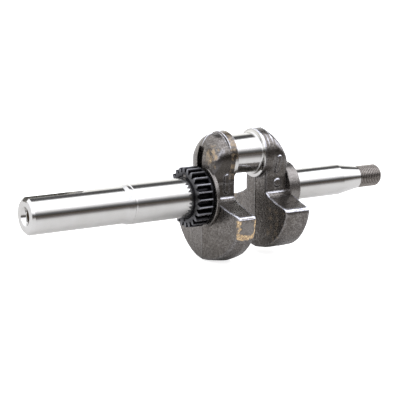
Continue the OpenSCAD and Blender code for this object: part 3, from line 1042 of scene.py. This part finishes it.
def add_floor():
    """A pale paper floor under the object."""
    floor_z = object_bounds()[0][2]
    size = FLOOR_HALF_M
    mesh = bpy.data.meshes.new("floor")
    mesh.from_pydata([(-size, -size, floor_z), (size, -size, floor_z), (size, size, floor_z),
                      (-size, size, floor_z)], [], [(0, 1, 2, 3)])
    floor = bpy.data.objects.new("floor", mesh)
    bpy.context.collection.objects.link(floor)

    n = Nodes("floor")
    parts = n.tree.nodes.new("ShaderNodeSeparateXYZ")
    n.link(n.place, parts.inputs["Vector"])
    path = n.tree.nodes.new("ShaderNodeLightPath")
    # Painted reflection: for glossy rays only, the paper is painted dark further in front of the
    # object, standing in for a dark room
    ahead = n.math("MULTIPLY", parts.outputs["Y"], -1.0)
    fall = n.ramp(ahead, [(0.09, 0.20), (0.15, 0.34), (0.22, 0.72), (0.5, 0.96)])
    painted_dark_reflection = n.math("MULTIPLY", path.outputs["Is Glossy Ray"], fall)
    paper = n.mix(n.noise(6, 2), (0.84, 0.83, 0.81), (0.88, 0.87, 0.85))
    n.set(Base_Color=n.mix(painted_dark_reflection, paper, (0.06, 0.048, 0.040)), Roughness=0.9,
          Specular_IOR_Level=0.1, Emission_Color=(1.0, 1.0, 1.0),
          Emission_Strength=n.math("MULTIPLY", path.outputs["Is Camera Ray"], 0.8))
    mesh.materials.append(n.material)


def add_world():
    """A bright tent whose brightness changes with the angle round the shaft's axis, from the
    front (0) over the top (90) to the back (180), as in a light box for small objects. The
    camera itself sees a plain white backdrop."""
    # Each stop is an angle in degrees and a colour; below the horizon it is under zero
    stops = [(-180, (0.3, 0.3, 0.3)), (-6, (0.08, 0.065, 0.052)), (7, (0.026, 0.024, 0.022)),
             (18, (0.075, 0.075, 0.08)), (30, (0.44, 0.44, 0.46)), (46, (0.92, 0.93, 1.0)),
             (93, (0.92, 0.93, 1.0)), (101, (0.40, 0.40, 0.41)), (108, (0.04, 0.04, 0.042)),
             (131, (0.04, 0.04, 0.042)), (138, (0.22, 0.22, 0.22)), (146, (0.50, 0.50, 0.50)),
             (180, (0.50, 0.50, 0.50))]
    world = bpy.data.worlds.new("world")
    bpy.context.scene.world = world
    world.use_nodes = True
    tree = world.node_tree
    tree.nodes.clear()

    def node(kind, **settings):
        step = tree.nodes.new(kind)
        for key, value in settings.items():
            setattr(step, key, value)
        return step

    def math_node(operation, *inputs):
        step = node("ShaderNodeMath", operation=operation)
        for value, socket in zip(inputs, step.inputs):
            if isinstance(value, (int, float)):
                socket.default_value = value
            else:
                tree.links.new(value, socket)
        return step.outputs[0]

    def smooth_step(value, start, stop):
        step = node("ShaderNodeMapRange", interpolation_type="SMOOTHSTEP")
        tree.links.new(value, step.inputs["Value"])
        step.inputs["From Min"].default_value = start
        step.inputs["From Max"].default_value = stop
        return step.outputs["Result"]

    place = node("ShaderNodeTexCoord")
    parts = node("ShaderNodeSeparateXYZ")
    tree.links.new(place.outputs["Generated"], parts.inputs["Vector"])
    forward = math_node("MULTIPLY", parts.outputs["Y"], -1)
    angle = math_node("ARCTAN2", parts.outputs["Z"], forward)
    ramp = node("ShaderNodeValToRGB")
    elements = ramp.color_ramp.elements
    while len(elements) < len(stops):
        elements.new(1)
    for element, (degrees, colour) in zip(elements, stops):
        element.position = degrees / 360 + 0.5
        element.color = (*colour, 1)
    tree.links.new(math_node("MULTIPLY_ADD", angle, 1 / AROUND, 0.5), ramp.inputs["Fac"])

    # A white panel fills the tent except towards +X and near the horizon
    not_ahead = math_node("SUBTRACT", 1.0, smooth_step(parts.outputs["X"], 0.15, 0.42))
    raised = smooth_step(parts.outputs["Z"], 0.40, 0.65)
    panel = node("ShaderNodeMix", data_type="RGBA")
    factor, plain, white = (panel.inputs[i] for i in (0, 6, 7))
    tree.links.new(math_node("MULTIPLY", not_ahead, raised), factor)
    tree.links.new(ramp.outputs["Color"], plain)
    white.default_value = (0.62, 0.63, 0.67, 1)

    tent = node("ShaderNodeBackground")
    tent.inputs["Strength"].default_value = TENT_STRENGTH
    tree.links.new(panel.outputs[2], tent.inputs["Color"])
    backdrop = node("ShaderNodeBackground")
    backdrop.inputs["Strength"].default_value = BACKDROP_STRENGTH
    path = node("ShaderNodeLightPath")
    pick = node("ShaderNodeMixShader")
    tree.links.new(path.outputs["Is Camera Ray"], pick.inputs[0])
    tree.links.new(tent.outputs[0], pick.inputs[1])
    tree.links.new(backdrop.outputs[0], pick.inputs[2])
    out = node("ShaderNodeOutputWorld")
    tree.links.new(pick.outputs[0], out.inputs["Surface"])


# ---------------------------------------------------------------- the scene

add_camera()
ground = ground_steel("ground_steel", (0.66, 0.655, 0.64), (0.56, 0.55, 0.52),
                     roughness=(0.09, 0.19))
key_steel = ground_steel("key_steel", (0.20, 0.19, 0.18), (0.12, 0.11, 0.10), 900, (0.3, 0.45))
bore_steel = ground_steel("bore_steel", (0.13, 0.10, 0.07), (0.07, 0.055, 0.04), 900, (0.3, 0.45))
skin = forging_skin()
oxide = black_oxide()
thread_dark = thread_steel()

output_shaft(ground, bore_steel)
end_hole_thread(bore_steel)
seal_lead_in(ground)
pto_journal(ground)
gear_seat(oxide)
timing_gear(oxide)
gear_key(key_steel)
gear_side_boss(skin)
gear_side_forging(skin)
crankpin(ground)
pin_collars(ground)
flywheel_side_forging(skin)
flywheel_side_boss(skin)
flywheel_journal(ground)
flywheel_taper(ground)
threaded_end(thread_dark)
add_floor()
add_world()

bpy.context.scene.view_settings.view_transform = "Standard"
